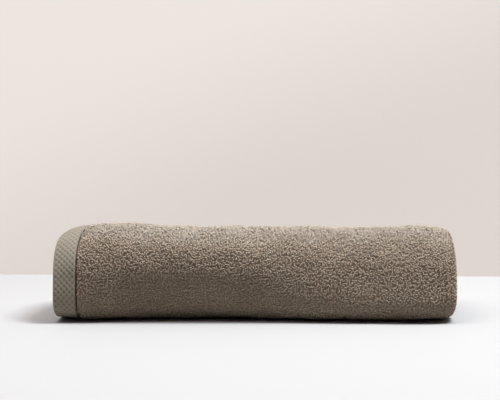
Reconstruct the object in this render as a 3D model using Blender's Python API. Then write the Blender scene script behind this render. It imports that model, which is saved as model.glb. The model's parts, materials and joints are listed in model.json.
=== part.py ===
"""A terry bath towel, folded in three along its length and rolled up across its width.

The roll lies along X. Its woven end hem is at the left, towards -X, and its folded end at the right, towards +X.
It rests on a flat spot at Z = 0, with the free edge of the cloth tucked under its back, towards +Y.
The towel is one piece of cloth, so it is one solid: the outside of the roll, and at each end the winding of the
folded cloth, turn inside turn, from the free edge to the core.
"""

import math
from bisect import bisect
from collections import namedtuple

import bmesh
import bpy
import numpy as np
from mathutils import Vector

# The towel as it was woven, and the roll that it makes, in metres
TOWEL_WIDTH = 0.700
TOWEL_LENGTH = 1.400
PANELS = 3
ROLL_LENGTH = TOWEL_LENGTH / PANELS
ROLL_HEIGHT = 0.106
ROLL_DEPTH = 0.146

# The section of the roll: an oval that is squarer than an ellipse, the more so below, where the cloth has settled under
# its own weight, and cut flat where it rests
CENTRE_HEIGHT = ROLL_HEIGHT / 2
HALF_DEPTH = ROLL_DEPTH / 2
CROWN_POWER = 2.25
BASE_POWER = 3.2
SETTLED = 0.004  # how far the oval would reach below the surface that it rests on

# The winding. Angles are in degrees round the section: 0 at the front, 90 on top, 180 at the back, 270 underneath
FREE_EDGE_ANGLE = 240.0
FREE_EDGE_ROUND = 5.0
PACK_SHARE = 0.24  # thickness of the three panels together, as a share of the distance from centre to outside
TUCK_START = 0.91  # the share of the outer turn after which it bends in under the free edge
TUCK_FADES_OVER = 3.0  # turns
CORE_RECESS = 0.016

# The woven end hem: a flat band with no pile, and the groove of its seam
HEM_WIDTH = 0.027
HEM_DROP = 0.0015
SEAM_DEPTH = 0.0032
SEAM_HALF_WIDTH = 0.0022

# How finely the surface is divided
POINTS_PER_TURN = 60
HEM_STATIONS = (0.004, 0.011, 0.018)
PLAIN_STATIONS = 24
FOLD_END_ROUND = 0.011
FIRST_PLAIN = HEM_WIDTH + 3 * SEAM_HALF_WIDTH

# Across the thickness of the folded cloth, at the two ends of the roll: a row for each line of points.
# share is the place from the outer face (0) to the inner face (1), and back is how far it lies behind the end.
Line = namedtuple("Line", "hem_share hem_back fold_share fold_back")
PACK_LINES = (
    Line(hem_share=0.00, hem_back=0.0014, fold_share=0.00, fold_back=FOLD_END_ROUND),
    Line(hem_share=0.07, hem_back=0.0000, fold_share=0.06, fold_back=0.0060),
    Line(hem_share=0.16, hem_back=0.0012, fold_share=0.22, fold_back=0.0020),
    Line(hem_share=0.24, hem_back=0.0120, fold_share=0.42, fold_back=0.0000),
    Line(hem_share=0.40, hem_back=0.0065, fold_share=0.60, fold_back=0.0002),
    Line(hem_share=0.62, hem_back=0.0045, fold_share=0.80, fold_back=0.0022),
    Line(hem_share=0.86, hem_back=0.0068, fold_share=0.94, fold_back=0.0060),
    Line(hem_share=1.00, hem_back=0.0125, fold_share=1.00, fold_back=0.0105),
)
INNER_TURN_BACK = 0.0012  # each turn inwards lies this much further back

# The outline along the roll: a row for each place, as along, the distance from the hem end.
# top_rise is measured on the crown, base_lift on the underside of the oval before it is cut flat, and bulge_height is
# where the front is fullest.
Place = namedtuple("Place", "along top_rise base_lift bulge_height")
OUTLINE = (
    Place(along=0.000, top_rise=-0.0034, base_lift=0.0022, bulge_height=0.045),
    Place(along=0.012, top_rise=0.0002, base_lift=0.0010, bulge_height=0.046),
    Place(along=0.028, top_rise=0.0022, base_lift=0.0000, bulge_height=0.048),
    Place(along=0.058, top_rise=0.0030, base_lift=0.0000, bulge_height=0.052),
    Place(along=0.090, top_rise=0.0020, base_lift=0.0000, bulge_height=0.056),
    Place(along=0.104, top_rise=0.0004, base_lift=0.0000, bulge_height=0.057),
    Place(along=0.130, top_rise=0.0002, base_lift=0.0000, bulge_height=0.058),
    Place(along=0.170, top_rise=-0.0018, base_lift=0.0000, bulge_height=0.059),
    Place(along=0.195, top_rise=-0.0004, base_lift=0.0000, bulge_height=0.058),
    Place(along=0.240, top_rise=-0.0011, base_lift=0.0000, bulge_height=0.054),
    Place(along=0.265, top_rise=-0.0005, base_lift=0.0000, bulge_height=0.051),
    Place(along=0.310, top_rise=-0.0020, base_lift=0.0000, bulge_height=0.046),
    Place(along=0.355, top_rise=-0.0027, base_lift=0.0000, bulge_height=0.043),
    Place(along=0.400, top_rise=-0.0013, base_lift=0.0000, bulge_height=0.041),
    Place(along=0.445, top_rise=-0.0006, base_lift=0.0004, bulge_height=0.042),
    Place(along=ROLL_LENGTH, top_rise=-0.0042, base_lift=0.0038, bulge_height=0.044),
)

# How far the hem end lies back, round the section, because the roll was wound a little askew
HemEnd = namedtuple("HemEnd", "angle set_back")
HEM_END = (
    HemEnd(angle=0, set_back=0.0000),
    HemEnd(angle=35, set_back=0.0000),
    HemEnd(angle=65, set_back=0.0030),
    HemEnd(angle=90, set_back=0.0090),
    HemEnd(angle=130, set_back=0.0170),
    HemEnd(angle=200, set_back=0.0150),
    HemEnd(angle=270, set_back=0.0040),
    HemEnd(angle=320, set_back=0.0000),
    HemEnd(angle=360, set_back=0.0000),
)
SKEW_REACH = 0.170  # distance from the hem end at which the skew has gone

# The main folds of the surface: a soft ridge, or a trough where size is negative, with its middle and its reach.
# along and length are distances, angle and spread are round the section, and drift turns the fold off the lengthwise
# line, as the degrees that it climbs over its length.
Fold = namedtuple("Fold", "along length angle spread drift size")
FOLDS = (
    Fold(along=0.062, length=0.016, angle=14, spread=34, drift=14, size=0.0016),
    Fold(along=0.084, length=0.014, angle=8, spread=30, drift=14, size=-0.0014),
    Fold(along=0.165, length=0.110, angle=34, spread=13, drift=-10, size=0.0014),
    Fold(along=0.300, length=0.120, angle=12, spread=12, drift=-12, size=-0.0015),
    Fold(along=0.395, length=0.070, angle=-22, spread=12, drift=8, size=0.0014),
    Fold(along=0.250, length=0.160, angle=124, spread=14, drift=12, size=-0.0014),
    Fold(along=0.130, length=0.100, angle=168, spread=12, drift=-8, size=0.0015),
    Fold(along=0.360, length=0.090, angle=196, spread=12, drift=10, size=-0.0014),
)

# Soft unevenness of the surface: each ripple runs along the roll and winds round it
Ripple = namedtuple("Ripple", "size wavelength lobes phase")
RIPPLES = (
    Ripple(size=0.0004, wavelength=0.210, lobes=2, phase=0.6),
    Ripple(size=0.0003, wavelength=0.115, lobes=-3, phase=2.1),
    Ripple(size=0.0003, wavelength=0.071, lobes=5, phase=4.0),
    Ripple(size=0.0003, wavelength=0.052, lobes=-7, phase=1.3),
)


def eased(start, end, value):
    """0 before start, 1 after end, and a smooth step between them."""
    share = min(1.0, max(0.0, (value - start) / (end - start)))
    return share * share * (3 - 2 * share)


def smooth_curve(table, key, column):
    """The smooth curve through a column of a table, as a function of the key column."""
    keys = [getattr(row, key) for row in table]
    heights = [getattr(row, column) for row in table]
    slopes = np.gradient(heights, keys)

    def curve(value):
        i = min(max(bisect(keys, value) - 1, 0), len(keys) - 2)
        step = keys[i + 1] - keys[i]
        share = min(1.0, max(0.0, (value - keys[i]) / step))
        blend = share * share * (3 - 2 * share)
        start_bend = slopes[i] * step * share * (1 - share) ** 2
        end_bend = slopes[i + 1] * step * share**2 * (1 - share)
        return float(heights[i] * (1 - blend) + heights[i + 1] * blend + start_bend - end_bend)

    return curve


top_rise_at = smooth_curve(OUTLINE, "along", "top_rise")
base_lift_at = smooth_curve(OUTLINE, "along", "base_lift")
bulge_height_at = smooth_curve(OUTLINE, "along", "bulge_height")
hem_end_at = smooth_curve(HEM_END, "angle", "set_back")


def set_back_at(along, angle, share):
    """How far the cloth lies back from the plane of the hem end: less towards the centre and away from the end."""
    return hem_end_at(angle % 360) * min(1.0, 2 * share) * (1 - eased(0, SKEW_REACH, along))


def fold_at(along, angle):
    """How far the main folds stand out or in at a place on the outside."""
    height = 0.0
    for fold in FOLDS:
        lengthwise = (along - fold.along) / fold.length
        turned = (angle - fold.angle - fold.drift * lengthwise + 180) % 360 - 180
        height += fold.size * math.exp(-(lengthwise**2) - (turned / fold.spread) ** 2)
    return height


def ripple_at(along, angle):
    """How far the soft unevenness stands out or in at a place on the outside."""
    turned = math.radians(angle)
    return sum(
        wave.size * math.sin(math.tau * along / wave.wavelength + wave.lobes * turned + wave.phase)
        for wave in RIPPLES
    )


def hem_drop_at(along):
    """How far the surface lies in on the hem and in its seam groove, below the pile."""
    flat = HEM_DROP * (1 - eased(HEM_WIDTH - SEAM_HALF_WIDTH, FIRST_PLAIN, along))
    groove = SEAM_DEPTH * max(0.0, 1 - abs(along - HEM_WIDTH) / SEAM_HALF_WIDTH)
    return flat + groove


def rounded_power(value, power):
    """A sine or cosine bent so that the circle that it draws becomes the squarer oval."""
    return math.copysign(abs(value) ** (2 / power), value)


def surface_point(along, angle, share):
    """A point of the roll. share is its distance from the centre: 1 on the outside, 0 in the middle."""
    turned = math.radians(angle)
    power = CROWN_POWER if math.sin(turned) > 0 else BASE_POWER
    across, up = rounded_power(math.cos(turned), power), rounded_power(math.sin(turned), power)
    inward = hem_drop_at(along) - ripple_at(along, angle) - fold_at(along, angle)
    radius_up = ROLL_HEIGHT - CENTRE_HEIGHT + top_rise_at(along)
    radius_down = CENTRE_HEIGHT + SETTLED - base_lift_at(along)
    y = -(HALF_DEPTH - inward) * across
    z = max(-CENTRE_HEIGHT, ((radius_up if up > 0 else radius_down) - inward) * up)
    front_share = max(0.0, across)
    lean = (CENTRE_HEIGHT - bulge_height_at(along)) * HALF_DEPTH / CENTRE_HEIGHT**2
    y += lean * z * front_share
    return along + set_back_at(along, angle, share), y * share, CENTRE_HEIGHT + z * share


def turns_in(turns):
    """How deep a point of the winding lies, in thicknesses of the folded cloth, after so many turns inwards.

    The outer turn keeps to the outside until it bends in under the free edge. The turns inside it do so less and less.
    """
    whole = math.floor(turns)
    part = turns - whole
    tucked = max(0.0, 1 - whole / TUCK_FADES_OVER)
    return whole + tucked * eased(TUCK_START, 1.0, part) + (1 - tucked) * part


def winding_share(turns, pack_share):
    """Distance from the centre, as a share, of a point part of the way through the folded cloth."""
    outer, inner = turns_in(turns), turns_in(turns + 1)
    return 1 - PACK_SHARE * (outer + (inner - outer) * pack_share)


def winding_angle(turns, pack_share):
    """Angle round the section after so many turns. The free edge bulges out a little across its thickness."""
    angle = FREE_EDGE_ANGLE - 360 * turns
    if turns == 0:
        angle += FREE_EDGE_ROUND * math.sin(math.pi * pack_share)
    return angle


def winding_steps():
    """How many steps of the winding use up the width of the towel, along the middle of the folded cloth."""
    steps, wound, before = 0, 0.0, None
    while wound < TOWEL_WIDTH:
        turns = steps / POINTS_PER_TURN
        here = Vector(surface_point(ROLL_LENGTH / 2, winding_angle(turns, 0.5), winding_share(turns, 0.5)))
        wound += (here - before).length if before else 0.0
        before = here
        steps += 1
    return steps


def stations():
    """Distances from the hem end at which the outside is divided."""
    hem = [
        PACK_LINES[0].hem_back,
        *HEM_STATIONS,
        HEM_WIDTH - SEAM_HALF_WIDTH,
        HEM_WIDTH,
        HEM_WIDTH + SEAM_HALF_WIDTH,
        FIRST_PLAIN,
    ]
    last = ROLL_LENGTH - FOLD_END_ROUND
    step = (last - FIRST_PLAIN) / PLAIN_STATIONS
    return hem + [FIRST_PLAIN + step * (i + 1) for i in range(PLAIN_STATIONS)]


def outer_ring(bm, along):
    """The outline of the section at one station: once round the outside, then across the free edge of the cloth."""
    ring = []
    for i in range(POINTS_PER_TURN + 1):
        turns = i / POINTS_PER_TURN
        point = surface_point(along, winding_angle(turns, 0), winding_share(turns, 0))
        ring.append(bm.verts.new(point))
    first, last = PACK_LINES[0].hem_back, ROLL_LENGTH - PACK_LINES[0].fold_back
    toward_fold = (along - first) / (last - first)
    for line in reversed(PACK_LINES[1:-1]):
        share = line.hem_share + (line.fold_share - line.hem_share) * toward_fold
        place = line.hem_back + (ROLL_LENGTH - line.fold_back - line.hem_back) * toward_fold
        point = surface_point(place, winding_angle(0, share), winding_share(0, share))
        ring.append(bm.verts.new(point))
    return ring


def join_rings(bm, first, second):
    """The band of faces between two rings of the outside."""
    count = len(first)
    for i in range(count):
        j = (i + 1) % count
        bm.faces.new((first[i], second[i], second[j], first[j]))


def end_winding(bm, ring, at_hem):
    """The end of the roll: the folded cloth wound inwards from the outer ring, and its core."""
    last_line = len(PACK_LINES) - 1
    steps = winding_steps()
    grid = {}
    for i in range(POINTS_PER_TURN + 1):
        grid[i, 0] = ring[i]
    for k in range(1, last_line):
        grid[0, k] = ring[len(ring) - k]
    for i in range(steps + 1):
        turns = i / POINTS_PER_TURN
        for k, line in enumerate(PACK_LINES):
            if (i, k) in grid:
                continue
            if k == 0:
                grid[i, 0] = grid[i - POINTS_PER_TURN, last_line]
                continue
            if k == last_line and i == 0:
                grid[i, k] = ring[POINTS_PER_TURN]
                continue
            share, back = (line.hem_share, line.hem_back) if at_hem else (line.fold_share, line.fold_back)
            back += INNER_TURN_BACK * turns
            along = back if at_hem else ROLL_LENGTH - back
            point = surface_point(along, winding_angle(turns, share), winding_share(turns, share))
            grid[i, k] = bm.verts.new(point)
    quads = []
    for i in range(steps):
        for k in range(last_line):
            quads.append((grid[i, k], grid[i + 1, k], grid[i + 1, k + 1], grid[i, k + 1]))
    inner = [grid[i, last_line] for i in range(steps - POINTS_PER_TURN, steps + 1)]
    inner += [grid[steps, k] for k in range(last_line - 1, 0, -1)]
    core_along = CORE_RECESS if at_hem else ROLL_LENGTH - CORE_RECESS
    middle = sum((vert.co for vert in inner), Vector()) / len(inner)
    core = bm.verts.new((core_along, middle.y, middle.z))
    fan = [(inner[i], inner[(i + 1) % len(inner)], core) for i in range(len(inner))]
    for corners in quads + fan:
        bm.faces.new(corners if at_hem else reversed(corners))


def towel_mesh():
    """The whole roll as one closed mesh, centred on its box, with its base at Z = 0."""
    bm = bmesh.new()
    rings = [outer_ring(bm, along) for along in stations()]
    for first, second in zip(rings, rings[1:]):
        join_rings(bm, first, second)
    end_winding(bm, rings[0], at_hem=True)
    end_winding(bm, rings[-1], at_hem=False)
    bmesh.ops.recalc_face_normals(bm, faces=bm.faces)
    for axis in (0, 1):
        places = [vert.co[axis] for vert in bm.verts]
        middle = (min(places) + max(places)) / 2
        for vert in bm.verts:
            vert.co[axis] -= middle
    mesh = bpy.data.meshes.new("towel")
    bm.to_mesh(mesh)
    bm.free()
    return mesh


def terry_material():
    """Taupe cotton, quite matt."""
    material = bpy.data.materials.new("taupe_terry")
    material.use_nodes = True
    shader = material.node_tree.nodes["Principled BSDF"]
    shader.inputs["Base Color"].default_value = (0.330, 0.268, 0.214, 1)
    shader.inputs["Roughness"].default_value = 0.95
    shader.inputs["Metallic"].default_value = 0.0
    return material


def main():
    for obj in list(bpy.data.objects):
        bpy.data.objects.remove(obj)
    mesh = towel_mesh()
    mesh.materials.append(terry_material())
    mesh.shade_smooth()
    mesh.set_sharp_from_angle(angle=math.radians(50))
    towel = bpy.data.objects.new("towel", mesh)
    bpy.context.scene.collection.objects.link(towel)


main()
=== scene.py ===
# %% [markdown]
# A rolled terry bath towel. The real towel is one length of cotton cloth, 70 by 140 cm. Both faces are
# covered with small loops of yarn, and each end has a flat woven hem. It has been folded in three along
# its length and rolled up across its width, so one end of the roll shows the hem and the other shows the
# fold. This lesson dresses the measured solid of that roll. It winds a true sheet of cloth into the same
# form, then covers it with loops, because terry gets its look from thousands of small shadows that a
# painted surface can't give.

# %% Load the measured model
import json
import math
from collections import namedtuple

import bpy
import numpy as np
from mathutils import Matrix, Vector

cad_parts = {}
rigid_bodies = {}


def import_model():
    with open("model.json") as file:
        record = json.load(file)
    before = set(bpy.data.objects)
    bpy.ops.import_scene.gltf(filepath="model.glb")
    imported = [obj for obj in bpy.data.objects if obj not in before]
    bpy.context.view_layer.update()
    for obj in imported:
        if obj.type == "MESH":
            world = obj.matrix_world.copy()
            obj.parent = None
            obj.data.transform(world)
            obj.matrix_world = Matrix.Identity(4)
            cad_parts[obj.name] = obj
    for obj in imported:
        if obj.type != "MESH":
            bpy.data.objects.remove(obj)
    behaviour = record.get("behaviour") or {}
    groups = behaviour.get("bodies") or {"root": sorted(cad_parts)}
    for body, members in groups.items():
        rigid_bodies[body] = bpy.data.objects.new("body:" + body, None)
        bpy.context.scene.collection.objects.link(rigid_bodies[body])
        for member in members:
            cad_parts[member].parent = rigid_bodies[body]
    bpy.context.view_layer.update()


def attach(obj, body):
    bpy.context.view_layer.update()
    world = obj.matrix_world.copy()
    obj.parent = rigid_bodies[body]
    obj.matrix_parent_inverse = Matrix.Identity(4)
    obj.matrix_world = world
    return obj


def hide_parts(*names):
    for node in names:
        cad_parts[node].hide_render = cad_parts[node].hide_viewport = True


for leftover in list(bpy.data.objects):
    bpy.data.objects.remove(leftover)
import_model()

# %% [markdown]
# The camera comes first. A product photograph of a towel is taken from a little above the table with a
# long lens, so the ends hardly spread. The lens is given by how many pixels one radian covers in a
# picture 500 wide.

# %% Camera
PHOTO_WIDTH = 500
PIXELS_PER_RADIAN = 1222
SENSOR_WIDTH = 36.0
CAMERA_PLACE = (-0.006, -1.462, 0.275)
CAMERA_DOWN = 5.40  # degrees below the horizon

camera_data = bpy.data.cameras.new("camera")
camera_data.sensor_width = SENSOR_WIDTH
camera_data.lens = PIXELS_PER_RADIAN / PHOTO_WIDTH * SENSOR_WIDTH
camera = bpy.data.objects.new("camera", camera_data)
camera.location = CAMERA_PLACE
camera.rotation_euler = (math.radians(90 - CAMERA_DOWN), 0, 0)
bpy.context.scene.collection.objects.link(camera)
bpy.context.scene.camera = camera
bpy.context.scene.view_settings.view_transform = "Standard"
print("lens, mm:", round(camera_data.lens, 1))

# %% [markdown]
# Blender builds meshes from lists of points and faces, and materials from nodes that are linked one by one.
# Both could be written out each time. A few helpers keep every later step down to what is special about it.


# %% Helpers for meshes and node trees
def mesh_object(name, points, faces, material=None):
    """A new object from a list of points and a list of faces."""
    mesh = bpy.data.meshes.new(name)
    mesh.from_pydata(np.asarray(points).reshape(-1, 3).tolist(), [], [list(face) for face in faces])
    mesh.validate()
    mesh.shade_smooth()
    obj = bpy.data.objects.new(name, mesh)
    bpy.context.scene.collection.objects.link(obj)
    if material:
        mesh.materials.append(material)
    return obj


def set_attribute(obj, name, values):
    """Stores one number for each point of a mesh."""
    attribute = obj.data.attributes.new(name, "FLOAT", "POINT")
    attribute.data.foreach_set("value", np.asarray(values, np.float32).ravel())


def named(sockets, name):
    """The socket in use with this name. Some nodes keep several of one name, for each kind of data."""
    return next(socket for socket in sockets if socket.name == name and socket.enabled)


def add_node(tree, kind, inputs=None, **settings):
    """A node of this kind. inputs gives each socket a value, or another node's output to link it to."""
    node = tree.nodes.new(kind)
    for key, value in settings.items():
        setattr(node, key, value)
    for name, value in (inputs or {}).items():
        socket = node.inputs[name] if isinstance(name, int) else named(node.inputs, name)
        if isinstance(value, bpy.types.NodeSocket):
            tree.links.new(value, socket)
        else:
            socket.default_value = value
    return node


def new_material(name):
    """A material with its tree and its Principled shader."""
    material = bpy.data.materials.new(name)
    material.use_nodes = True
    return material, material.node_tree, material.node_tree.nodes["Principled BSDF"]


# %% [markdown]
# The stage is a white table and a pale wall behind it. Neither is part of the towel. The lights are
# strong enough to print a mid grey as white, so the table's own colour lies well below white. It is given a
# slightly warmer one for the light that it passes on, which is a choice for the look: it brings the shaded
# foot of the towel near to the photograph's tone. The wall glows a little, paler towards its top and its
# left. It is painted on its front alone, so that a camera behind it looks straight through.

# %% Table and wall
WALL_PLACE = 0.287
WALL_TURN = 0.17  # the photograph looks at the wall slightly askew
STAGE_REACH = 6.0
TABLE_WHITE = (0.425, 0.422, 0.436, 1)
TABLE_PASSES_ON = (0.46, 0.44, 0.415, 1)
# The glow is painted light, brighter high up and to the left, as the room's light falls on the wall.
WALL_GLOW_LOW = (0.735, 0.665, 0.628, 1)
WALL_GLOW_HIGH = (0.855, 0.800, 0.765, 1)
WALL_BARE = (0.16, 0.15, 0.145, 1)  # its own colour, under the glow
WALL_FOOT, WALL_TOP = 0.08, 0.42  # heights at which the lower tone ends and the upper one is reached
WALL_DRIFT = -0.45  # the upper tone starts lower on the left
WALL_GLOW = 0.80

table_finish, table_tree, table_shader = new_material("white_table")
table_sight = add_node(table_tree, "ShaderNodeLightPath")
table_colour = add_node(
    table_tree,
    "ShaderNodeMix",
    {"Factor": table_sight.outputs["Is Camera Ray"], "A": TABLE_PASSES_ON, "B": TABLE_WHITE},
    data_type="RGBA",
)
table_tree.links.new(named(table_colour.outputs, "Result"), table_shader.inputs["Base Color"])
table_shader.inputs["Roughness"].default_value = 0.7
table_shader.inputs["Specular IOR Level"].default_value = 0.2

wall_finish, wall_tree, wall_shader = new_material("pale_wall")
wall_place = add_node(wall_tree, "ShaderNodeTexCoord")
wall_axes = add_node(wall_tree, "ShaderNodeSeparateXYZ", {"Vector": wall_place.outputs["Object"]})
wall_drift = add_node(
    wall_tree,
    "ShaderNodeMath",
    {0: wall_axes.outputs["X"], 1: WALL_DRIFT, 2: wall_axes.outputs["Z"]},
    operation="MULTIPLY_ADD",
)
wall_share = add_node(
    wall_tree,
    "ShaderNodeMapRange",
    {"Value": wall_drift.outputs[0], "From Min": WALL_FOOT, "From Max": WALL_TOP},
    interpolation_type="SMOOTHSTEP",
)
wall_colour = add_node(
    wall_tree,
    "ShaderNodeMix",
    {"Factor": wall_share.outputs["Result"], "A": WALL_GLOW_LOW, "B": WALL_GLOW_HIGH},
    data_type="RGBA",
)
wall_tree.links.new(named(wall_colour.outputs, "Result"), wall_shader.inputs["Emission Color"])
wall_shader.inputs["Emission Strength"].default_value = WALL_GLOW
wall_shader.inputs["Base Color"].default_value = WALL_BARE
wall_shader.inputs["Roughness"].default_value = 0.9
wall_side = add_node(wall_tree, "ShaderNodeNewGeometry")
wall_clear = add_node(wall_tree, "ShaderNodeBsdfTransparent")
wall_choice = add_node(
    wall_tree,
    "ShaderNodeMixShader",
    {0: wall_side.outputs["Backfacing"], 1: wall_shader.outputs[0], 2: wall_clear.outputs[0]},
)
wall_tree.links.new(wall_choice.outputs[0], wall_tree.nodes["Material Output"].inputs["Surface"])


def stage_sheet(name, x, y, z, material):
    """One large upright or level face. Each of x, y and z gives the values at its four corners."""
    return mesh_object(name, np.stack([x, y, z], axis=-1), [(0, 1, 2, 3)], material)


reach = STAGE_REACH
sides = (-reach, reach, reach, -reach)
table = stage_sheet("table", sides, (-reach, -reach, reach, reach), (0, 0, 0, 0), table_finish)
wall_y = [WALL_PLACE - math.copysign(WALL_TURN, side) for side in sides]
wall = stage_sheet("wall", sides, wall_y, (0, 0, reach, reach), wall_finish)
print("table, metres across:", 2 * reach)

# %% [markdown]
# The light of the photograph comes from above. A long soft source, high on the right and in line with the
# roll, lights the crown and throws a shadow to the left along the table. A wide soft source overhead,
# slightly warmer, opens the shadows. Hardly any light comes from the front, so the lower half of the
# front is left to what the table passes on.

# %% Lights
TOWEL_MIDDLE = (0, 0, 0.05)
ROOM_LIGHT = 0.02
ROOM_COLOUR = (1.0, 0.99, 0.98, 1)


def area_light(name, place, size, length, power, colour):
    """A soft light that faces the towel. Its size is measured along the table's depth, its length across."""
    data = bpy.data.lights.new(name, "AREA")
    data.shape = "RECTANGLE"
    data.size = size
    data.size_y = length
    data.energy = power
    data.color = colour
    lamp = bpy.data.objects.new(name, data)
    lamp.location = place
    lamp.rotation_euler = (Vector(TOWEL_MIDDLE) - Vector(place)).to_track_quat("-Z", "Y").to_euler()
    bpy.context.scene.collection.objects.link(lamp)
    print(name, "light, metres from the towel:", round((Vector(place) - Vector(TOWEL_MIDDLE)).length, 2))


COOL, WARM = (0.93, 0.985, 1.0), (1.0, 0.95, 0.89)
area_light("key", place=(0.98, -0.12, 2.36), size=0.50, length=0.90, power=84, colour=COOL)
area_light("overhead", place=(-0.22, -0.10, 1.60), size=0.80, length=1.90, power=27, colour=WARM)
world = bpy.data.worlds.new("room")
bpy.context.scene.world = world
world.use_nodes = True
world.node_tree.nodes["Background"].inputs["Color"].default_value = ROOM_COLOUR
world.node_tree.nodes["Background"].inputs["Strength"].default_value = ROOM_LIGHT

# %% [markdown]
# The form of the roll is the one that was measured. Its section is an oval, squarer than an ellipse and
# cut flat where it rests, and short tables give how the crown, the base and the front change along the
# roll. The hem end isn't cut square: its upper part lies further back. Broad folds and faint ripples keep
# the cloth from looking turned on a lathe.

# %% Sizes of the towel and its roll, in metres, degrees and turns
TOWEL_WIDTH = 0.700
TOWEL_LENGTH = 1.400
PANELS = 3
ROLL_LENGTH = TOWEL_LENGTH / PANELS
CENTRE_HEIGHT = 0.053
HALF_DEPTH = 0.073
CROWN_POWER = 2.25  # 2 is an ellipse, and more is squarer
BASE_POWER = 3.2
SETTLED = 0.004  # how far the base would reach under the table, and is cut flat instead
FREE_EDGE_ANGLE = 240.0  # 0 is the front, 90 the crown, 180 the back and 270 the base
FREE_EDGE_ROUND = 5.0
FREE_EDGE_REACH = 1 / 60  # of a turn
PACK_SHARE = 0.24  # share of the way to the middle that one thickness of the folded cloth takes up
TUCK_START = 0.91  # part of the turn at which the cloth starts to bend in under the free edge
TUCK_FADES_OVER = 3.0  # turns
HEM_WIDTH = 0.027
HEM_DROP = 0.0015  # how far the woven hem lies below the surface of the pile
SKEW_REACH = 0.170
INNER_TURN_BACK = 0.0012  # how much further back each turn inwards ends

Place = namedtuple("Place", "along top_rise base_lift bulge_height")
OUTLINE = (
    Place(along=0.000, top_rise=-0.0034, base_lift=0.0022, bulge_height=0.045),
    Place(along=0.012, top_rise=0.0002, base_lift=0.0010, bulge_height=0.046),
    Place(along=0.028, top_rise=0.0022, base_lift=0.0000, bulge_height=0.048),
    Place(along=0.058, top_rise=0.0030, base_lift=0.0000, bulge_height=0.052),
    Place(along=0.090, top_rise=0.0020, base_lift=0.0000, bulge_height=0.056),
    Place(along=0.104, top_rise=0.0004, base_lift=0.0000, bulge_height=0.057),
    Place(along=0.130, top_rise=0.0002, base_lift=0.0000, bulge_height=0.058),
    Place(along=0.170, top_rise=-0.0018, base_lift=0.0000, bulge_height=0.059),
    Place(along=0.195, top_rise=-0.0004, base_lift=0.0000, bulge_height=0.058),
    Place(along=0.240, top_rise=-0.0011, base_lift=0.0000, bulge_height=0.054),
    Place(along=0.265, top_rise=-0.0005, base_lift=0.0000, bulge_height=0.051),
    Place(along=0.310, top_rise=-0.0020, base_lift=0.0000, bulge_height=0.046),
    Place(along=0.355, top_rise=-0.0027, base_lift=0.0000, bulge_height=0.043),
    Place(along=0.400, top_rise=-0.0013, base_lift=0.0000, bulge_height=0.041),
    Place(along=0.445, top_rise=-0.0006, base_lift=0.0004, bulge_height=0.042),
    Place(along=ROLL_LENGTH, top_rise=-0.0042, base_lift=0.0038, bulge_height=0.044),
)
HemEnd = namedtuple("HemEnd", "angle set_back")
HEM_END = (
    HemEnd(angle=0, set_back=0.0000),
    HemEnd(angle=35, set_back=0.0000),
    HemEnd(angle=65, set_back=0.0030),
    HemEnd(angle=90, set_back=0.0090),
    HemEnd(angle=130, set_back=0.0170),
    HemEnd(angle=200, set_back=0.0150),
    HemEnd(angle=270, set_back=0.0040),
    HemEnd(angle=320, set_back=0.0000),
    HemEnd(angle=360, set_back=0.0000),
)
Fold = namedtuple("Fold", "along length angle spread drift size")
FOLDS = (
    Fold(along=0.062, length=0.016, angle=14, spread=34, drift=14, size=0.0016),
    Fold(along=0.084, length=0.014, angle=8, spread=30, drift=14, size=-0.0014),
    Fold(along=0.165, length=0.110, angle=34, spread=13, drift=-10, size=0.0014),
    Fold(along=0.300, length=0.120, angle=12, spread=12, drift=-12, size=-0.0015),
    Fold(along=0.395, length=0.070, angle=-22, spread=12, drift=8, size=0.0014),
    Fold(along=0.250, length=0.160, angle=124, spread=14, drift=12, size=-0.0014),
    Fold(along=0.130, length=0.100, angle=168, spread=12, drift=-8, size=0.0015),
    Fold(along=0.360, length=0.090, angle=196, spread=12, drift=10, size=-0.0014),
)
Ripple = namedtuple("Ripple", "size wavelength lobes phase")
RIPPLES = (
    Ripple(size=0.0004, wavelength=0.210, lobes=2, phase=0.6),
    Ripple(size=0.0003, wavelength=0.115, lobes=-3, phase=2.1),
    Ripple(size=0.0003, wavelength=0.071, lobes=5, phase=4.0),
    Ripple(size=0.0003, wavelength=0.052, lobes=-7, phase=1.3),
)
print("length of the roll, mm:", round(1000 * ROLL_LENGTH, 1))

# %% [markdown]
# Any point of the roll now follows from three numbers: how far along it lies, its angle round the roll,
# and its share of the way out from the middle. The solid was made from the same rules, one point at a
# time. Here they take whole arrays of points at once, because the cloth needs many more of them than the
# solid does.

# %% The surface of the roll
OUTSIDE_STATIONS = 120
OUTSIDE_STEP = 3.0


def eased(start, end, value):
    """0 before start, 1 after end, and a smooth step between them."""
    share = np.clip((value - start) / (end - start), 0, 1)
    return share * share * (3 - 2 * share)


def smooth_curve(table, key, column):
    """The smooth curve through a column of a table, as a function of the key column."""
    keys = np.array([getattr(row, key) for row in table])
    heights = np.array([getattr(row, column) for row in table])
    slopes = np.gradient(heights, keys)

    def curve(value):
        i = np.clip(np.searchsorted(keys, value, side="right") - 1, 0, len(keys) - 2)
        step = keys[i + 1] - keys[i]
        share = np.clip((value - keys[i]) / step, 0, 1)
        blend = share * share * (3 - 2 * share)
        bend = slopes[i] * share * (1 - share) ** 2 - slopes[i + 1] * share**2 * (1 - share)
        return heights[i] * (1 - blend) + heights[i + 1] * blend + bend * step

    return curve


top_rise_at = smooth_curve(OUTLINE, "along", "top_rise")
base_lift_at = smooth_curve(OUTLINE, "along", "base_lift")
bulge_height_at = smooth_curve(OUTLINE, "along", "bulge_height")
hem_end_at = smooth_curve(HEM_END, "angle", "set_back")


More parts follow.
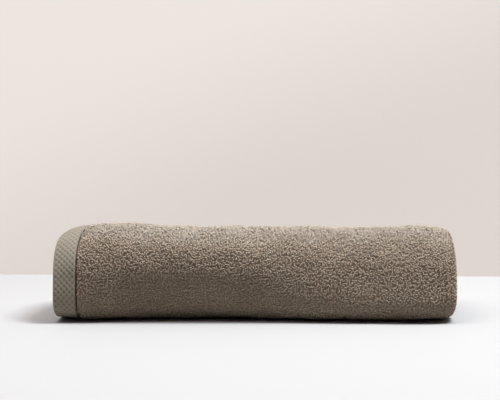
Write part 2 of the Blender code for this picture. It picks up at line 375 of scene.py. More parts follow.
def unevenness_at(along, angle):
    """How far the main folds and the soft ripples stand out at a place on the outside."""
    height = 0.0 * along
    for fold in FOLDS:
        lengthwise = (along - fold.along) / fold.length
        turned = (angle - fold.angle - fold.drift * lengthwise + 180) % 360 - 180
        height = height + fold.size * np.exp(-(lengthwise**2) - (turned / fold.spread) ** 2)
    for wave in RIPPLES:
        run = math.tau * along / wave.wavelength
        height = height + wave.size * np.sin(run + wave.lobes * np.radians(angle) + wave.phase)
    return height


def rounded_power(value, power):
    """A sine or cosine bent so that the circle that it draws becomes the squarer oval."""
    return np.copysign(np.abs(value) ** (2 / power), value)


def roll_point(along, angle, share, inset):
    """Points of the roll. share is 1 outside and 0 in the middle, and inset lies that far inside it."""
    along, angle, share, inset = np.broadcast_arrays(along, angle, share, inset)
    turned = np.radians(angle)
    power = np.where(np.sin(turned) > 0, CROWN_POWER, BASE_POWER)
    across = rounded_power(np.cos(turned), power)
    up = rounded_power(np.sin(turned), power)
    inward = inset - unevenness_at(along, angle)
    radius_up = CENTRE_HEIGHT + top_rise_at(along)
    radius_down = CENTRE_HEIGHT + SETTLED - base_lift_at(along)
    y = -(HALF_DEPTH - inward) * across
    z = np.maximum(-CENTRE_HEIGHT, (np.where(up > 0, radius_up, radius_down) - inward) * up)
    lean = (CENTRE_HEIGHT - bulge_height_at(along)) * HALF_DEPTH / CENTRE_HEIGHT**2
    y = y + lean * z * np.maximum(0, across)
    skew = hem_end_at(angle % 360) * np.minimum(1, 2 * share) * (1 - eased(0, SKEW_REACH, along))
    return np.stack([along + skew, y * share, CENTRE_HEIGHT + z * share], axis=-1)


stations = np.linspace(0, ROLL_LENGTH, OUTSIDE_STATIONS)[:, None]
outside = roll_point(stations, np.arange(0, 360, OUTSIDE_STEP)[None, :], 1.0, 0.0)
lowest, highest = outside.reshape(-1, 3).min(axis=0), outside.reshape(-1, 3).max(axis=0)
CENTRING = np.array([ROLL_LENGTH / 2, (lowest[1] + highest[1]) / 2, 0.0])
print("roll before centring, mm:", np.round(1000 * (highest - lowest), 1))

# %% [markdown]
# The winding. The cloth starts at its free edge, tucked under the back, goes once round the outside,
# bends in under that edge and winds on towards the middle. Turns are counted from the free edge, and
# pack_share runs through the three folded layers, from 0 on the outside to 1 on the inside. A real roll
# is a little open at the core where its ends can be seen, and the plump cloth closes that opening further
# in, so here it does the same. The winding ends where the towel's width is used up, or at the closed
# core, whichever comes first.

# %% The winding
CORE_CLOSED = 0.26  # share of the section that the open core would take up, and that the plump cloth fills
CORE_OPEN_REACH = (0.018, 0.075)  # from here on inwards the core starts to close, and there it is closed
CORE_LEAST = 0.010  # no point lies nearer to the middle, as a share of the section
MOST_TURNS = 3.5  # by then the core is full
TURN_SAMPLES = 1401


def turns_in(turns):
    """How deep the winding lies after so many turns inwards, in thicknesses of the folded cloth."""
    whole = np.floor(turns)
    part = turns - whole
    tucked = np.maximum(0, 1 - whole / TUCK_FADES_OVER)
    return whole + tucked * eased(TUCK_START, 1.0, part) + (1 - tucked) * part


def wound_point(turns, pack_share, along, inset=0.0):
    """A point of the folded cloth after so many turns, centred on the roll's own box."""
    outer, inner = turns_in(turns), turns_in(turns + 1)
    share = 1 - PACK_SHARE * (outer + (inner - outer) * pack_share)
    closed = CORE_CLOSED * eased(*CORE_OPEN_REACH, np.minimum(along, ROLL_LENGTH - along))
    share = np.maximum((share - closed) / (1 - closed), CORE_LEAST)
    bulge = FREE_EDGE_ROUND * np.sin(math.pi * pack_share) * np.clip(1 - turns / FREE_EDGE_REACH, 0, 1)
    angle = FREE_EDGE_ANGLE - 360 * turns + bulge
    return roll_point(along, angle, share, inset) - CENTRING


def length_along(points):
    """How far each point of a line lies from its start, measured along the line."""
    return np.concatenate([[0], np.cumsum(np.linalg.norm(np.diff(points, axis=0), axis=1))])


fine_turns = np.linspace(0, MOST_TURNS, TURN_SAMPLES)
wound_length = length_along(wound_point(fine_turns, 0.5, ROLL_LENGTH / 2))
LAST_TURN = float(np.interp(TOWEL_WIDTH, wound_length, fine_turns))
print("turns:", round(LAST_TURN, 2), "and the width that they take up, mm:", round(1000 * wound_length[-1]))

# %% [markdown]
# The cloth itself is swept along that winding. Its own section is a ribbon that goes to and fro three
# times: the outer panel from the hem to the fold on the right, back as the innermost panel, round the
# fold on the left, and in between the two as the middle panel. Each row of the ribbon has a point on
# either face, so the cloth has its thickness from the start.

# %% Rows of the ribbon
PILE_DEPTH = 0.0030
PLAIN_STEP = 0.0062
FOLD_ROUND = 0.011
FOLD_PILE = 0.0010  # the loops on the crest of a fold stand apart, so its ground lies further out
LEFT_FOLD_BACK = 0.0045
LEFT_FOLD_ROUND = 0.008
RIGHT_FOLD_START = ROLL_LENGTH - FOLD_ROUND
LEFT_FOLD_START = LEFT_FOLD_BACK + PILE_DEPTH + LEFT_FOLD_ROUND
RIGHT_FOLD_INNER, LEFT_FOLD_INNER = 0.0045, 0.0020  # how far the inner face reaches round each fold
RIGHT_FOLD_STEPS, LEFT_FOLD_STEPS = 12, 10
INSIDE_STATIONS = 15
PANEL_SHARES = ((0.0, 0.315), (0.685, 0.975), (0.655, 0.345))  # outer, inner, middle: one face and the other
HEM_SHARES = (0.01, 0.17)
HEM_STATIONS = (0.0004, 0.0010, 0.003, 0.008, 0.014, 0.020, 0.0245, 0.0258)
SEAM_STATIONS = (0.0270, 0.0282)
PLAIN_START = 0.0300
HIDDEN_END = ROLL_LENGTH - 0.015

Row = namedtuple("Row", "along_a share_a along_b share_b woven")


def panel_rows(stations, shares, woven=False):
    """Rows straight along the roll, which keep their depth in the pack."""
    return [Row(x, shares[0], x, shares[1], woven) for x in stations]


def fold_rows(centre, shares_a, shares_b, reach_a, reach_b, side, count):
    """Rows round a fold. side is 1 where it points right and -1 where it points left."""
    rows = []
    for i in range(1, count):
        turned = math.pi * i / count
        lengthwise = side * math.sin(turned)
        blend = (1 - math.cos(turned)) / 2
        share_a = shares_a[0] + (shares_a[1] - shares_a[0]) * blend
        share_b = shares_b[0] + (shares_b[1] - shares_b[0]) * blend
        along_a, along_b = centre + reach_a * lengthwise, centre + reach_b * lengthwise
        rows.append(Row(along_a, share_a, along_b, share_b, False))
    return rows


def ribbon_rows():
    """The folded cloth as a list of rows, from the hem to the hidden end in the middle."""
    outer, inner, middle = PANEL_SHARES
    right, left = RIGHT_FOLD_START, LEFT_FOLD_START
    count = round((right - PLAIN_START) / PLAIN_STEP)
    plain = [*SEAM_STATIONS, *np.linspace(PLAIN_START, right, count + 1)]
    inside = left + (right - left) * (1 - np.cos(np.linspace(0, math.pi, INSIDE_STATIONS))) / 2
    right_faces = (outer[0], inner[1]), (outer[1], inner[0])
    left_faces = (inner[1], middle[1]), (inner[0], middle[0])
    rows = panel_rows(HEM_STATIONS, HEM_SHARES, woven=True) + panel_rows(plain, outer)
    rows += fold_rows(right, *right_faces, FOLD_ROUND - FOLD_PILE, RIGHT_FOLD_INNER, 1, RIGHT_FOLD_STEPS)
    rows += panel_rows(inside[::-1], (inner[1], inner[0]))
    rows += fold_rows(left, *left_faces, LEFT_FOLD_ROUND, LEFT_FOLD_INNER, -1, LEFT_FOLD_STEPS)
    rows += panel_rows([x for x in inside if x < HIDDEN_END] + [HIDDEN_END], (middle[1], middle[0]))
    return rows


ROWS = ribbon_rows()
print("rows of the ribbon:", len(ROWS))

# %% [markdown]
# The sweep joins one ring of points to the next. A Curve to Mesh node could sweep a plain section, but
# this one bends in at the tuck and steps back at both ends, so its points are worked out. On the outer
# turn the ground of the cloth lies inside the measured surface by the depth of the pile, so that the
# loops reach that surface. A narrow groove marks the seam of the hem.

# %% Sweep the cloth
GROOVE_DEPTH = 0.0022
GROOVE_REACH = 0.0024
PILE_RISES = (HEM_WIDTH - 0.002, HEM_WIDTH + 0.001)  # where the hem ends and the pile begins
NEAR_FACE = 0.3  # from here on inwards a point isn't on the outer face of the pack
HEM_HIDDEN = 0.045  # how far the cloth lies in from both faces where the woven hem wraps it
OUTER_TURN_FADE = 0.03
STEPPED_REACH = 0.040
OUTER_TURNS, OUTER_RINGS, INNER_RINGS = 1.05, 127, 130


def on_outer_turn(turns):
    """1 on the outer turn and 0 on the turns inside it."""
    return 1 - eased(1.0, 1.0 + OUTER_TURN_FADE, turns)


def ground_inset(along, pack_share, turns):
    """How far the ground of the cloth lies inside the measured surface."""
    in_pile = eased(*PILE_RISES, along)
    near_face = np.clip(1 - pack_share / NEAR_FACE, 0, 1)
    groove = GROOVE_DEPTH * np.clip(1 - np.abs(along - HEM_WIDTH) / GROOVE_REACH, 0, 1)
    hem = HEM_DROP * (1 - in_pile) * (pack_share < NEAR_FACE)
    return hem + near_face * on_outer_turn(turns) * (PILE_DEPTH * in_pile + groove)


def stepped_back(along, turns):
    """Each turn inwards lies a little further back at both ends."""
    from_left = 1 - eased(0.0, STEPPED_REACH, along)
    from_right = eased(ROLL_LENGTH - STEPPED_REACH, ROLL_LENGTH, along)
    return along + INNER_TURN_BACK * turns * (from_left - from_right)


def cloth_grid(turns, rows):
    """Points of both faces of the ribbon at each of the given turns."""
    turns = np.asarray(turns)[:, None]
    woven = np.array([row.woven for row in rows])[None, :]
    hidden = HEM_HIDDEN * on_outer_turn(turns) * woven
    faces = []
    for side, inward in (("a", 1), ("b", -1)):
        along = np.array([getattr(row, "along_" + side) for row in rows])[None, :]
        share = np.array([getattr(row, "share_" + side) for row in rows])[None, :] + inward * hidden
        along = stepped_back(along, turns)
        faces.append(wound_point(turns, share, along, ground_inset(along, share, turns)))
    return faces


def ring_index(steps, around):
    """The number of each point of a row of rings, with the first point of a ring repeated after its last."""
    index = np.arange(steps * around).reshape(steps, around)
    return index, np.concatenate([index, index[:, :1]], axis=1)


def sweep_cloth(material, woven_material):
    """The wound cloth as one closed sheet."""
    first_turns = np.linspace(0, OUTER_TURNS, OUTER_RINGS)
    turns = np.concatenate([first_turns, np.linspace(OUTER_TURNS, LAST_TURN, INNER_RINGS)[1:]])
    face_a, face_b = cloth_grid(turns, ROWS)
    ring = np.concatenate([face_a, face_b[:, ::-1]], axis=1)
    steps, around = ring.shape[:2]
    index, wrapped = ring_index(steps, around)
    sides = np.stack([wrapped[:-1, :-1], wrapped[:-1, 1:], wrapped[1:, 1:], wrapped[1:, :-1]], axis=-1)
    faces = sides.reshape(-1, 4).tolist()
    woven_side = np.array([row.woven for row in ROWS] + [row.woven for row in reversed(ROWS)])
    slots = np.broadcast_to(woven_side, (steps - 1, around)).reshape(-1).astype(int).tolist()
    for step, flip in ((0, False), (steps - 1, True)):
        for k in range(len(ROWS) - 1):
            far = around - 1 - k
            cap = [index[step, k], index[step, far], index[step, far - 1], index[step, k + 1]]
            faces.append(cap[::-1] if flip else cap)
            slots.append(int(ROWS[k].woven))
    cloth = mesh_object("towel_cloth", ring, faces, material)
    cloth.data.materials.append(woven_material)
    cloth.data.polygons.foreach_set("material_index", slots)
    return cloth


# %% [markdown]
# Materials. All of the towel is the same dyed cotton, so one node group gives its colour to every finish:
# a warm taupe, a little different from yarn to yarn and slightly uneven over a hand's breadth. Shade is
# painted into it as well: the colour turns darker and richer towards the roots of the loops. Cotton has a
# soft pale bloom at a glancing angle, which the sheen of the shader gives.

# %% Shared cotton colour
TAUPE = (0.410, 0.335, 0.270, 1)
# painted shade: the colour of the yarn at its roots and of the ground between the loops
TAUPE_ROOT_SHADE = (0.262, 0.202, 0.155, 1)
HEM_TAUPE = (0.235, 0.208, 0.172, 1)
# painted shade in the pits of the hem's woven figure
HEM_PIT_SHADE = (0.050, 0.042, 0.032, 1)
SHEEN_TINT = (1.0, 0.95, 0.90, 1)
BROAD_LEAST, BROAD_MOST = 0.95, 1.05  # brightness over a hand's breadth
YARN_LEAST, YARN_MOST = 0.88, 1.12  # brightness from yarn to yarn

cotton = bpy.data.node_groups.new("cotton_colour", "ShaderNodeTree")
for input_name, socket_kind in (
    ("Tip Colour", "NodeSocketColor"),
    ("Root Colour", "NodeSocketColor"),
    ("Rise", "NodeSocketFloat"),
    ("Tint", "NodeSocketFloat"),
):
    cotton.interface.new_socket(input_name, in_out="INPUT", socket_type=socket_kind)
cotton.interface.new_socket("Colour", in_out="OUTPUT", socket_type="NodeSocketColor")
cotton_in = cotton.nodes.new("NodeGroupInput").outputs
cotton_out = cotton.nodes.new("NodeGroupOutput")
place = add_node(cotton, "ShaderNodeTexCoord")
broad = add_node(
    cotton,
    "ShaderNodeTexNoise",
    {"Vector": place.outputs["Object"], "Scale": 22.0, "Detail": 2.0, "Roughness": 0.5},
)
unevenness = add_node(
    cotton,
    "ShaderNodeMapRange",
    {
        "Value": broad.outputs[0],
        "From Min": 0.3,
        "From Max": 0.7,
        "To Min": BROAD_LEAST,
        "To Max": BROAD_MOST,
    },
)
yarn_value = add_node(
    cotton,
    "ShaderNodeMapRange",
    {"Value": cotton_in["Tint"], "To Min": YARN_LEAST, "To Max": YARN_MOST},
)
brightness = add_node(
    cotton, "ShaderNodeMath", {0: unevenness.outputs[0], 1: yarn_value.outputs[0]}, operation="MULTIPLY"
)
root_to_tip = add_node(
    cotton,
    "ShaderNodeMix",
    {"Factor": cotton_in["Rise"], "A": cotton_in["Root Colour"], "B": cotton_in["Tip Colour"]},
    data_type="RGBA",
)
coloured = add_node(
    cotton,
    "ShaderNodeVectorMath",
    {0: named(root_to_tip.outputs, "Result"), "Scale": brightness.outputs[0]},
    operation="SCALE",
)
cotton.links.new(coloured.outputs[0], cotton_out.inputs["Colour"])


def cotton_material(name, tip, root, sheen):
    """A finish of the shared cotton. The mesh's own attributes give each yarn point's height and tint."""
    material, tree, shader = new_material(name)
    rise = add_node(tree, "ShaderNodeAttribute", attribute_name="rise")
    tint = add_node(tree, "ShaderNodeAttribute", attribute_name="tint")
    group = add_node(tree, "ShaderNodeGroup", node_tree=cotton)
    group.inputs["Tip Colour"].default_value = tip
    group.inputs["Root Colour"].default_value = root
    tree.links.new(rise.outputs["Fac"], group.inputs["Rise"])
    tree.links.new(tint.outputs["Fac"], group.inputs["Tint"])
    tree.links.new(group.outputs["Colour"], shader.inputs["Base Color"])
    shader.inputs["Roughness"].default_value = 0.92
    shader.inputs["Sheen Weight"].default_value = sheen
    shader.inputs["Sheen Roughness"].default_value = 0.45
    shader.inputs["Sheen Tint"].default_value = SHEEN_TINT
    shader.inputs["Specular IOR Level"].default_value = 0.20
    return material


pile_finish = cotton_material("terry_loops", TAUPE, TAUPE_ROOT_SHADE, sheen=0.30)
ground_finish = cotton_material("terry_ground", TAUPE, TAUPE_ROOT_SHADE, sheen=0.02)
hem_finish = cotton_material("woven_hem", HEM_TAUPE, HEM_PIT_SHADE, sheen=0.05)
print("finishes:", [material.name for material in (pile_finish, ground_finish, hem_finish)])

# %% [markdown]
# The photograph shows the crown of the roll paler and smoother than the loops' own shading makes it. There
# the camera looks along the pile, and the loops close up and their fibres catch the light. That cause is a
# likely one, not a measured one, and the real effect would move with the eye. Here it is only approximated
# with painted light: the loops' normals turn towards that of the cloth under them, and a pale painted sheen
# is mixed into their colour, by how far that cloth faces up, with amounts fitted to the photograph. So the
# painted sheen stays on the crown when the camera moves, which in views from above leaves the crown
# somewhat smoother than a real towel's.

# %% Painted sheen on the crown
CROWN_LIGHT_FROM, CROWN_LIGHT_TO = 0.71, 0.97  # how far the cloth faces up, 1 being level
CROWN_LIGHT_MOST = 0.78
PAINTED_SHEEN_SHARE = 0.5
# the pale colour of the painted sheen
PAINTED_SHEEN_COLOUR = (0.480, 0.435, 0.385, 1)

pile_tree = pile_finish.node_tree
pile_shader = pile_tree.nodes["Principled BSDF"]
cloth_normal = add_node(pile_tree, "ShaderNodeAttribute", attribute_name="cloth_normal").outputs["Vector"]
facing_up = add_node(pile_tree, "ShaderNodeSeparateXYZ", {"Vector": cloth_normal})
crown_light = add_node(
    pile_tree,
    "ShaderNodeMapRange",
    {"Value": facing_up.outputs["Z"], "From Min": CROWN_LIGHT_FROM, "From Max": CROWN_LIGHT_TO, "To Max": CROWN_LIGHT_MOST},
    interpolation_type="SMOOTHSTEP",
)
yarn_surface = add_node(pile_tree, "ShaderNodeNewGeometry")
bent_normal = add_node(
    pile_tree,
    "ShaderNodeMix",
    {"Factor": crown_light.outputs["Result"], "A": yarn_surface.outputs["Normal"], "B": cloth_normal},
    data_type="VECTOR",
)
even_normal = add_node(
    pile_tree, "ShaderNodeVectorMath", {0: named(bent_normal.outputs, "Result")}, operation="NORMALIZE"
)
pile_tree.links.new(even_normal.outputs[0], pile_shader.inputs["Normal"])
painted_sheen_share = add_node(
    pile_tree, "ShaderNodeMath", {0: crown_light.outputs["Result"], 1: PAINTED_SHEEN_SHARE}, operation="MULTIPLY"
)
plain_colour = pile_shader.inputs["Base Color"].links[0].from_socket
# painted sheen: the loops' colour pales where the cloth under them faces up
painted_sheen_mix = add_node(
    pile_tree,
    "ShaderNodeMix",
    {"Factor": painted_sheen_share.outputs[0], "A": plain_colour, "B": PAINTED_SHEEN_COLOUR},
    data_type="RGBA",
)
pile_tree.links.new(named(painted_sheen_mix.outputs, "Result"), pile_shader.inputs["Base Color"])
print("nodes in the pile's finish:", len(pile_tree.nodes))

# %% [markdown]
# With its finishes ready, the cloth can be made. Between the loops only its ground shows, so all of it
# gets the painted shade of the roots and a middling tint.

# %% Make the cloth
MIDDLE_TINT = 0.5

cloth = sweep_cloth(ground_finish, hem_finish)
# painted shade: a rise of 0 gives the whole ground the shaded colour of the roots
set_attribute(cloth, "rise", np.zeros(len(cloth.data.vertices)))
set_attribute(cloth, "tint", np.full(len(cloth.data.vertices), MIDDLE_TINT))
print("faces of the cloth:", len(cloth.data.polygons))

# %% [markdown]
# The hem is a flat woven band at the end of the towel. A dobby loom gives it a small diamond figure: rows
# of pits, each row half a step on from the last, with soft ridges that cross between them. It is made as
# a closed band that wraps the end of the cloth, with the figure raised in its outer face, because its
# shadows show from a step away.

# %% Woven hem
DIAMOND_ACROSS = 0.0064
DIAMOND_ROUND = 0.0071
DIAMOND_DEPTH = 0.00085
DIAMOND_MEAN = 0.7  # the height that the band keeps where it has no figure
VALLEY_POWER = 0.55
# the pits get painted shade, which turns into the hem's own colour towards the ridges
PIT_SHADE_REACH = (0.15, 0.8)  # heights between which the pits' colour turns into that of the ridges
BAND_RINGS = 860
BAND_STEP = 0.00048
BAND_END = HEM_WIDTH - 0.0012
BAND_ROUND = 0.0009
BAND_ROUND_STEPS = 7
BAND_EDGE = 0.0014
BAND_EDGE_DROP = 0.0010
BAND_DEEP = 0.15  # how far into the pack the band's hidden face lies
BAND_OUTER_SHARE = 0.02  # points deeper in the pack than this carry no figure
BAND_SEAM_SHARES = (0.06, 0.12)  # how deep the band's edge at the seam starts and ends
BAND_BACK = (0.005, 0.012, 0.020)
FIGURE_STARTS_OVER = 0.0012


def diamond_height(across, around):
    """Height of the woven figure, from 0 in a pit to 1 on a diamond."""
    first = np.abs(np.sin(math.pi * (across + around))) ** VALLEY_POWER
    second = np.abs(np.sin(math.pi * (across - around))) ** VALLEY_POWER
    return (first + second) / 2


def band_section():
    """The band's own section: its place along the roll and its depth in the pack, point by point."""
    edge = np.linspace(0, math.pi, BAND_ROUND_STEPS)
    flat = np.arange(BAND_END - BAND_ROUND, BAND_ROUND, -BAND_STEP)
    rounded = BAND_ROUND * (1 - np.sin(edge))
    rounded_shares = BAND_DEEP / 2 * (1 - np.cos(edge))
    along = [BAND_END, *flat, *rounded, *BAND_BACK, BAND_END]
    seam_start, seam_end = BAND_SEAM_SHARES
    share = [seam_start, *(0 * flat), *rounded_shares, *([BAND_DEEP] * len(BAND_BACK)), seam_end]
    return np.array(along)[None, :], np.array(share)[None, :]


def make_hem_band():
    """The hem's woven band, a closed strip once round the roll with the figure in its outer face."""
    turns = np.linspace(0, 1.0, BAND_RINGS)
    wound = length_along(wound_point(turns, 0.0, HEM_WIDTH / 2, HEM_DROP))
    along, share = band_section()
    height = diamond_height(along / DIAMOND_ACROSS, wound[:, None] / DIAMOND_ROUND)
    on_face = eased(0.0, FIGURE_STARTS_OVER, along) * (share < BAND_OUTER_SHARE)
    height = height * on_face + DIAMOND_MEAN * (1 - on_face)
    edge_drop = BAND_EDGE_DROP * eased(BAND_END - BAND_EDGE, BAND_END, along)
    inset = HEM_DROP - DIAMOND_DEPTH * (height - DIAMOND_MEAN) + edge_drop
    points = wound_point(turns[:, None], share, along, inset)
    steps, around = points.shape[:2]
    index, wrapped = ring_index(steps, around)
    sides = np.stack([wrapped[:-1, :-1], wrapped[1:, :-1], wrapped[1:, 1:], wrapped[:-1, 1:]], axis=-1)
    faces = sides.reshape(-1, 4).tolist()
    faces.append(index[0].tolist())
    faces.append(index[-1][::-1].tolist())
    band = mesh_object("hem_band", points, faces, hem_finish)
    # painted shade: the lower a point of the figure lies, the darker it is coloured
    set_attribute(band, "rise", np.broadcast_to(eased(*PIT_SHADE_REACH, height), (steps, around)))
    set_attribute(band, "tint", np.full(steps * around, MIDDLE_TINT))
    return band


hem_band = make_hem_band()
print("faces of the hem band:", len(hem_band.data.polygons))

# %% [markdown]
# The pile. On the real towel every loop is a short arch of soft yarn that has flopped its own way.
# Particle hair could do for a cut pile, but a loop goes up and comes back, so a geometry node tree sets a
# small arch on every point instead. Its sizes are named inputs, so that the same tree serves every patch
# of the cloth.

# %% Inputs of the pile tree
PILE_VALUES = {
    "Spacing": 0.0018,
    "Loop Height": 0.0028,
    "Loop Width": 0.0035,
    "Yarn Radius": 0.00056,
    "Lean": 0.50,
}


def tree_input(tree, name, kind, value=None):
    """Adds an input to a tree, and gives the identifier by which a modifier sets it."""
    socket = tree.interface.new_socket(name, in_out="INPUT", socket_type=kind)
    if value is not None:
        socket.default_value = value
    return socket.identifier


def math_node(tree, operation, first, second=0.0, third=None):
    """The result of one sum."""
    numbers = {0: first, 1: second} if third is None else {0: first, 1: second, 2: third}
    return add_node(tree, "ShaderNodeMath", numbers, operation=operation).outputs[0]


pile = bpy.data.node_groups.new("terry_pile", "GeometryNodeTree")
pile.interface.new_socket("Geometry", in_out="INPUT", socket_type="NodeSocketGeometry")
pile.interface.new_socket("Geometry", in_out="OUTPUT", socket_type="NodeSocketGeometry")
PILE_INPUTS = {key: tree_input(pile, key, "NodeSocketFloat", value) for key, value in PILE_VALUES.items()}
PILE_INPUTS["Seed"] = tree_input(pile, "Seed", "NodeSocketInt", 1)
PILE_INPUTS["Yarn"] = tree_input(pile, "Yarn", "NodeSocketMaterial")
given = pile.nodes.new("NodeGroupInput").outputs
result = pile.nodes.new("NodeGroupOutput")
print("inputs of the pile tree:", list(PILE_INPUTS))

# %% [markdown]
# One loop is a short line, bent by a formula: up one side and down the other, with its feet drawn
# together and a slight twist, as the yarn's own turn gives it. It gets a three-sided section, which is
# enough at this size. Every point keeps how high it stands, and the finish paints shade on the yarn,
# darker towards its root.

# %% One loop of yarn
LOOP_POINTS = 5
YARN_SIDES = 3
FEET_APART = 0.45  # as a share of the loop's width
LOOP_TWIST = 0.45
ARCH_POWER = 0.9
FEET_SUNK = 0.12  # as a share of the loop's height

line = add_node(pile, "GeometryNodeCurvePrimitiveLine")
arch = add_node(pile, "GeometryNodeResampleCurve", {"Curve": line.outputs[0], "Count": LOOP_POINTS})
bow = math_node(pile, "MULTIPLY", add_node(pile, "GeometryNodeSplineParameter").outputs["Factor"], math.pi)
sine = math_node(pile, "SINE", bow)
spread = math_node(pile, "MULTIPLY_ADD", sine, 1 - FEET_APART, FEET_APART)
half_width = math_node(pile, "MULTIPLY", given["Loop Width"], -0.5)
across = math_node(pile, "MULTIPLY", math_node(pile, "COSINE", bow), spread)
across = math_node(pile, "MULTIPLY", across, half_width)
twist = math_node(pile, "SINE", math_node(pile, "MULTIPLY", bow, 2.0))
sideways = math_node(pile, "MULTIPLY", math_node(pile, "MULTIPLY", twist, half_width), LOOP_TWIST)
raised = math_node(pile, "SUBTRACT", math_node(pile, "POWER", sine, ARCH_POWER), FEET_SUNK)
upwards = math_node(pile, "MULTIPLY", raised, given["Loop Height"])
bent = add_node(pile, "ShaderNodeCombineXYZ", {"X": across, "Y": sideways, "Z": upwards})
shaped = add_node(
    pile, "GeometryNodeSetPosition", {"Geometry": arch.outputs[0], "Position": bent.outputs[0]}
)
with_rise = add_node(
    pile,
    "GeometryNodeStoreNamedAttribute",
    {"Geometry": shaped.outputs[0], "Name": "rise", "Value": sine},
    data_type="FLOAT",
    domain="POINT",
)
section = add_node(
    pile, "GeometryNodeCurvePrimitiveCircle", {"Resolution": YARN_SIDES, "Radius": given["Yarn Radius"]}
)
loop = add_node(
    pile, "GeometryNodeCurveToMesh", {"Curve": with_rise.outputs[0], "Profile Curve": section.outputs[0]}
)
print("nodes of one loop:", len(pile.nodes))

# %% [markdown]
# The loops stand on points that keep their distance from each other, as the rows of the weave make them
# do. Each turns its own way, leans a little and differs in size. The point also hands on which way the
# cloth faces, for the veil on the crown, and every loop gets a tint of its own.

# %% Loops on a patch of cloth
MOST_LOOPS = 400000.0  # for each square metre, before the spacing thins them out
SMALLEST_LOOP = (0.80, 0.80, 0.88)
LARGEST_LOOP = (1.25, 1.25, 1.08)


def random_value(kind, least, most):
    """A random number or vector for each loop, from the tree's own seed."""
    numbers = {"Min": least, "Max": most, "Seed": given["Seed"]}
    return named(add_node(pile, "FunctionNodeRandomValue", numbers, data_type=kind).outputs, "Value")


def stored(geometry, name, value, kind, domain):
    """The geometry with a value kept under a name."""
    kept = add_node(
        pile,
        "GeometryNodeStoreNamedAttribute",
        {"Geometry": geometry, "Name": name, "Value": value},
        data_type=kind,
        domain=domain,
    )
    return kept.outputs[0]


scatter = add_node(
    pile,
    "GeometryNodeDistributePointsOnFaces",
    {
        "Mesh": given["Geometry"],
        "Distance Min": given["Spacing"],
        "Density Max": MOST_LOOPS,
        "Seed": given["Seed"],
    },
    distribute_method="POISSON",
)
least_turn = add_node(pile, "ShaderNodeCombineXYZ", {"Z": 0.0})
most_turn = add_node(pile, "ShaderNodeCombineXYZ", {"Z": math.tau})
negative_lean = math_node(pile, "MULTIPLY", given["Lean"], -1.0)
for axis in ("X", "Y"):
    pile.links.new(negative_lean, least_turn.inputs[axis])
    pile.links.new(given["Lean"], most_turn.inputs[axis])
random_turn = random_value("FLOAT_VECTOR", least_turn.outputs[0], most_turn.outputs[0])
as_turn = add_node(pile, "FunctionNodeEulerToRotation", {"Euler": random_turn})
facing = add_node(
    pile,
    "FunctionNodeRotateRotation",
    {"Rotation": scatter.outputs["Rotation"], "Rotate By": as_turn.outputs[0]},
    rotation_space="LOCAL",
)
points, outward = scatter.outputs["Points"], scatter.outputs["Normal"]
roots = stored(points, "cloth_normal", outward, "FLOAT_VECTOR", "POINT")
loops = add_node(
    pile,
    "GeometryNodeInstanceOnPoints",
    {
        "Points": roots,
        "Instance": loop.outputs[0],
        "Rotation": facing.outputs[0],
        "Scale": random_value("FLOAT_VECTOR", SMALLEST_LOOP, LARGEST_LOOP),
    },
)
tinted = stored(loops.outputs[0], "tint", random_value("FLOAT", 0.0, 1.0), "FLOAT", "INSTANCE")
realized = add_node(pile, "GeometryNodeRealizeInstances", {"Geometry": tinted})
smooth = add_node(pile, "GeometryNodeSetShadeSmooth", {"Geometry": realized.outputs[0]})
finished = add_node(
    pile, "GeometryNodeSetMaterial", {"Geometry": smooth.outputs[0], "Material": given["Yarn"]}
)
pile.links.new(finished.outputs[0], result.inputs["Geometry"])
print("nodes of the whole pile tree:", len(pile.nodes))

# %% [markdown]
# The tree needs a surface to grow on. The visible outside of the roll is cut into patches, so that each
# mesh stays light enough to handle, and the folds at both ends get patches of their own. Faces that touch
# the table carry no loops, since nothing shows there and the towel has to rest.

# %% Patches that carry the pile
PILE_START = HEM_WIDTH + 0.0016
PATCH_STEP = 0.004
MEAN_GIRTH = 0.41  # about how far it is once round the roll
PATCH_STATIONS = 110
CONTACT = 0.0006  # no loop starts lower than this, where the towel rests
FOLD_PATCH_START = 0.002  # turns
FOLD_PATCH_RINGS = 110  # for each turn
RIGHT_PATCH_ROWS, LEFT_PATCH_ROWS = 10, 9
HAIR = 1e-6  # less than any real distance between two rows

Patch = namedtuple("Patch", "name first_turn last_turn")
PATCHES = (
    Patch("pile_back_low", 0.004, 0.16),
    Patch("pile_back", 0.16, 0.34),
    Patch("pile_top", 0.34, 0.48),
    Patch("pile_front_top", 0.48, 0.62),
    Patch("pile_front", 0.62, 0.74),
    Patch("pile_front_low", 0.74, 0.97),
)


def patch_host(name, points):
    """A patch of the cloth's surface that faces outwards, without the faces that touch the table."""
    rows, columns = points.shape[:2]
    first = np.arange(rows - 1)[:, None] * columns + np.arange(columns - 1)[None, :]
    faces = np.stack([first + columns, first + columns + 1, first + 1, first], axis=-1).reshape(-1, 4)
    above = points.reshape(-1, 3)[faces][:, :, 2].min(axis=1) > CONTACT
    return mesh_object(name + "_host", points, faces[above])


def outer_patch(patch):
    """A patch of the outer turn, from the hem to the fold."""
    steps = max(2, round((patch.last_turn - patch.first_turn) * MEAN_GIRTH / PATCH_STEP))
    turns = np.linspace(patch.first_turn, patch.last_turn, steps + 1)[:, None]
    along = np.linspace(PILE_START, RIGHT_FOLD_START, PATCH_STATIONS)[None, :]
    return patch_host(patch.name, wound_point(turns, 0.0, along, ground_inset(along, 0.0, turns)))


def fold_patch(name, first_row, row_count):
    """A patch over the crest of a fold, from the free edge to the core."""
    turns = np.linspace(FOLD_PATCH_START, LAST_TURN, round(LAST_TURN * FOLD_PATCH_RINGS))
    face_a, _ = cloth_grid(turns, ROWS[first_row : first_row + row_count])
    return patch_host(name, face_a)


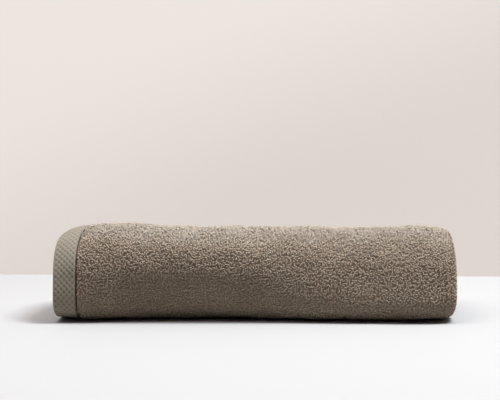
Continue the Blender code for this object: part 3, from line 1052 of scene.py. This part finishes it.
right_crest = next(i for i, row in enumerate(ROWS) if row.along_a > RIGHT_FOLD_START + HAIR)
past_crest = right_crest + RIGHT_FOLD_STEPS
left_crest = next(i for i, row in enumerate(ROWS) if i > past_crest and row.along_a < LEFT_FOLD_START - HAIR)
hosts = [outer_patch(patch) for patch in PATCHES]
hosts.append(fold_patch("pile_fold_end", right_crest - 1, RIGHT_PATCH_ROWS))
hosts.append(fold_patch("pile_hem_end", left_crest, LEFT_PATCH_ROWS))
print("patches:", len(hosts))

# %% [markdown]
# Last, the tree is run on every patch and its result kept as a plain mesh. A modifier could stay live,
# but then its mesh would be made anew in each program that opens the file. Loops that would sink into the
# table are stopped just above it.

# %% Grow the pile
LOWEST_YARN = 0.0002


def grown(host, tree, identifiers, values, name):
    """The mesh that a node tree makes on a host, as a new object. The host is removed."""
    modifier = host.modifiers.new("grow", "NODES")
    modifier.node_group = tree
    for key, value in values.items():
        modifier[identifiers[key]] = value
    graph = bpy.context.evaluated_depsgraph_get()
    mesh = bpy.data.meshes.new_from_object(host.evaluated_get(graph))
    host.modifiers.remove(modifier)
    bpy.data.objects.remove(host)
    mesh.name = name
    finish = next(material for material in mesh.materials if material)
    mesh.materials.clear()
    mesh.materials.append(finish)
    mesh.polygons.foreach_set("material_index", np.zeros(len(mesh.polygons), np.int32))
    obj = bpy.data.objects.new(name, mesh)
    bpy.context.scene.collection.objects.link(obj)
    return obj


def keep_above_table(mesh):
    """Lifts every point that would lie in the table."""
    places = np.zeros(len(mesh.vertices) * 3, np.float32)
    mesh.vertices.foreach_get("co", places)
    places = places.reshape(-1, 3)
    places[:, 2] = np.maximum(places[:, 2], LOWEST_YARN)
    mesh.vertices.foreach_set("co", places.ravel())
    mesh.update()


pile_pieces = []
for seed, host in enumerate(hosts, start=1):
    piece_name = host.name.removesuffix("_host")
    piece = grown(host, pile, PILE_INPUTS, dict(PILE_VALUES, Seed=seed, Yarn=pile_finish), piece_name)
    keep_above_table(piece.data)
    pile_pieces.append(piece)
    print(piece_name, "triangles:", 2 * len(piece.data.polygons))

# %% [markdown]
# Every piece is tied to the towel's one body, and the solid that they replace is hidden.

# %% Tie the pieces to the towel
for piece in (cloth, hem_band, *pile_pieces):
    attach(piece, "root")
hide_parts("towel")
